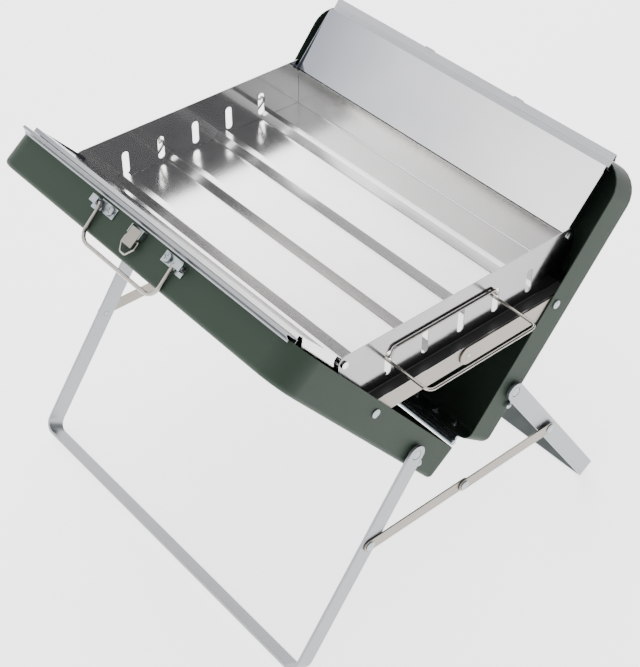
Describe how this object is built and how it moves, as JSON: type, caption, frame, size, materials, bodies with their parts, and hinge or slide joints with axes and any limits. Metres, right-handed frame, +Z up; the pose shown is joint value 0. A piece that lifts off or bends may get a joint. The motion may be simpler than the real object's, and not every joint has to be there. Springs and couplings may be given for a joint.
{
  "type": "camping stove",
  "caption": "Folding table-top charcoal stove: two hinged sheet cases open to a V on splayed wire-stayed legs and hold a slotted tray.",
  "frame": {"origin": "on the ground, under the middle of the overall box", "axes": "+X along the hinge towards the end whose tray handle stands out, -Y towards the front case with the latch, +Z up"},
  "size_m": [0.4822, 0.4672, 0.4173],
  "materials": {
    "green_paint": "satin dark green baked paint on sheet steel",
    "polished_stainless": "mirror-polished stainless sheet",
    "satin_aluminium": "satin drawn aluminium",
    "stay_steel": "nickel-plated steel strip, warm grey",
    "nickel_wire": "bright nickel-plated steel wire",
    "zinc_fastener": "bright zinc-plated steel"
  },
  "bodies": {
    "hinge_pin": {"hinge_pin": "zinc_fastener"},
    "front_case_body": {"front_case": "green_paint", "front_hinge_leaf": "zinc_fastener", "front_rail": "satin_aluminium", "front_leg_rivet_plus": "zinc_fastener", "front_leg_rivet_minus": "zinc_fastener", "front_stop_screw_plus": "zinc_fastener", "front_stop_screw_minus": "zinc_fastener", "front_upper_rivet_outer": "zinc_fastener", "front_upper_rivet_inner": "zinc_fastener", "front_bracket_plus": "zinc_fastener", "front_bracket_minus": "zinc_fastener", "latch_base": "zinc_fastener"},
    "front_leg_body": {"front_leg": "satin_aluminium", "front_lower_rivet_outer": "zinc_fastener", "front_lower_rivet_inner": "zinc_fastener"},
    "front_lower_stays": {"front_lower_stay_outer": "stay_steel", "front_lower_stay_inner": "stay_steel", "front_lower_middle_rivet": "zinc_fastener"},
    "front_upper_stays": {"front_upper_stay_outer": "stay_steel", "front_upper_stay_inner": "stay_steel", "front_upper_middle_rivet": "zinc_fastener"},
    "front_bail_body": {"front_bail": "nickel_wire"},
    "front_reflector_body": {"front_reflector": "polished_stainless"},
    "rear_case_body": {"rear_case": "green_paint", "rear_hinge_leaf": "zinc_fastener", "rear_rail": "satin_aluminium", "rear_leg_rivet_plus": "zinc_fastener", "rear_leg_rivet_minus": "zinc_fastener", "rear_stop_screw_plus": "zinc_fastener", "rear_stop_screw_minus": "zinc_fastener", "rear_upper_rivet_outer": "zinc_fastener", "rear_upper_rivet_inner": "zinc_fastener", "rear_bracket_plus": "zinc_fastener", "rear_bracket_minus": "zinc_fastener", "rear_strike": "zinc_fastener"},
    "rear_leg_body": {"rear_leg": "satin_aluminium", "rear_lower_rivet_outer": "zinc_fastener", "rear_lower_rivet_inner": "zinc_fastener"},
    "rear_lower_stays": {"rear_lower_stay_outer": "stay_steel", "rear_lower_stay_inner": "stay_steel", "rear_lower_middle_rivet": "zinc_fastener"},
    "rear_upper_stays": {"rear_upper_stay_outer": "stay_steel", "rear_upper_stay_inner": "stay_steel", "rear_upper_middle_rivet": "zinc_fastener"},
    "rear_bail_body": {"rear_bail": "nickel_wire"},
    "rear_reflector_body": {"rear_reflector": "polished_stainless"},
    "tray": {"tray_pan": "polished_stainless", "tray_end_near": "polished_stainless", "tray_end_far": "polished_stainless", "ridge_1": "polished_stainless", "ridge_2": "polished_stainless", "ridge_3": "polished_stainless", "ridge_4": "polished_stainless"},
    "tray_handle_near_body": {"tray_handle_near": "nickel_wire"},
    "tray_handle_far_body": {"tray_handle_far": "nickel_wire"},
    "latch_lever_body": {"latch_lever": "stay_steel"},
    "latch_loop_body": {"latch_loop": "nickel_wire"}
  },
  "joints": [
    {"name": "front_case_fold", "type": "hinge", "parent": "hinge_pin", "child": "front_case_body", "pos_m": [0, 0, 0.17305], "axis": [-1, 0, 0], "range_deg": [0, 38.8]},
    {"name": "front_leg_fold", "type": "hinge", "parent": "front_case_body", "child": "front_leg_body", "pos_m": [0, -0.06553, 0.21146], "axis": [-1, 0, 0], "range_deg": [0, 106.6]},
    {"name": "front_lower_stay_fold", "type": "hinge", "parent": "front_leg_body", "child": "front_lower_stays", "pos_m": [0, -0.12198, 0.12964], "axis": [1, 0, 0], "range_deg": [0, 68.3]},
    {"name": "front_upper_stay_fold", "type": "hinge", "parent": "front_case_body", "child": "front_upper_stays", "pos_m": [0, -0.11508, 0.29224], "axis": [-1, 0, 0], "range_deg": [0, 43.8]},
    {"name": "front_bail_lift", "type": "hinge", "parent": "front_case_body", "child": "front_bail_body", "pos_m": [0, -0.20563, 0.40806], "axis": [-1, 0, 0], "range_deg": [0, 100]},
    {"name": "front_reflector_fold", "type": "hinge", "parent": "tray", "child": "front_reflector_body", "pos_m": [0, -0.13958, 0.35304], "axis": [-1, 0, 0], "range_deg": [0, 120]},
    {"name": "rear_case_fold", "type": "hinge", "parent": "hinge_pin", "child": "rear_case_body", "pos_m": [0, 0, 0.17305], "axis": [1, 0, 0], "range_deg": [0, 38.8]},
    {"name": "rear_leg_fold", "type": "hinge", "parent": "rear_case_body", "child": "rear_leg_body", "pos_m": [0, 0.06553, 0.21146], "axis": [1, 0, 0], "range_deg": [0, 106.6]},
    {"name": "rear_lower_stay_fold", "type": "hinge", "parent": "rear_leg_body", "child": "rear_lower_stays", "pos_m": [0, 0.12198, 0.12964], "axis": [-1, 0, 0], "range_deg": [0, 68.3]},
    {"name": "rear_upper_stay_fold", "type": "hinge", "parent": "rear_case_body", "child": "rear_upper_stays", "pos_m": [0, 0.11508, 0.29224], "axis": [1, 0, 0], "range_deg": [0, 43.8]},
    {"name": "rear_bail_lift", "type": "hinge", "parent": "rear_case_body", "child": "rear_bail_body", "pos_m": [0, 0.20563, 0.40806], "axis": [1, 0, 0], "range_deg": [0, 100]},
    {"name": "rear_reflector_fold", "type": "hinge", "parent": "tray", "child": "rear_reflector_body", "pos_m": [0, 0.13958, 0.35304], "axis": [1, 0, 0], "range_deg": [0, 120]},
    {"name": "tray_lift", "type": "slide", "parent": "hinge_pin", "child": "tray", "axis": [0, 0, 1], "range_m": [0, 0.531]},
    {"name": "tray_handle_near_drop", "type": "hinge", "parent": "tray", "child": "tray_handle_near_body", "pos_m": [0.18614, 0, 0.33084], "axis": [0, 1, 0], "range_deg": [0, 54.5]},
    {"name": "tray_handle_far_lift", "type": "hinge", "parent": "tray", "child": "tray_handle_far_body", "pos_m": [-0.21086, 0, 0.33084], "axis": [0, 1, 0], "range_deg": [0, 54.5]},
    {"name": "latch_lever_lift", "type": "hinge", "parent": "front_case_body", "child": "latch_lever_body", "pos_m": [0, -0.20512, 0.40821], "axis": [-1, 0, 0], "range_deg": [0, 90]},
    {"name": "latch_loop_swing", "type": "hinge", "parent": "latch_lever_body", "child": "latch_loop_body", "pos_m": [0, -0.21084, 0.40336], "axis": [-1, 0, 0], "range_deg": [0, 60]}
  ],
  "couplings": [
    {"joint": "front_leg_fold", "follows": "front_case_fold", "ratio": 2.7474},
    {"joint": "front_lower_stay_fold", "follows": "front_case_fold", "ratio": 1.7574},
    {"joint": "front_upper_stay_fold", "follows": "front_case_fold", "ratio": 1.1266},
    {"joint": "rear_case_fold", "follows": "front_case_fold", "ratio": 1},
    {"joint": "rear_leg_fold", "follows": "front_case_fold", "ratio": 2.7474},
    {"joint": "rear_lower_stay_fold", "follows": "front_case_fold", "ratio": 1.7574},
    {"joint": "rear_upper_stay_fold", "follows": "front_case_fold", "ratio": 1.1266},
    {"joint": "tray_lift", "follows": "front_case_fold", "m_per_rad": 0.78265},
    {"joint": "latch_loop_swing", "follows": "latch_lever_lift", "ratio": 0.66667}
  ]
}
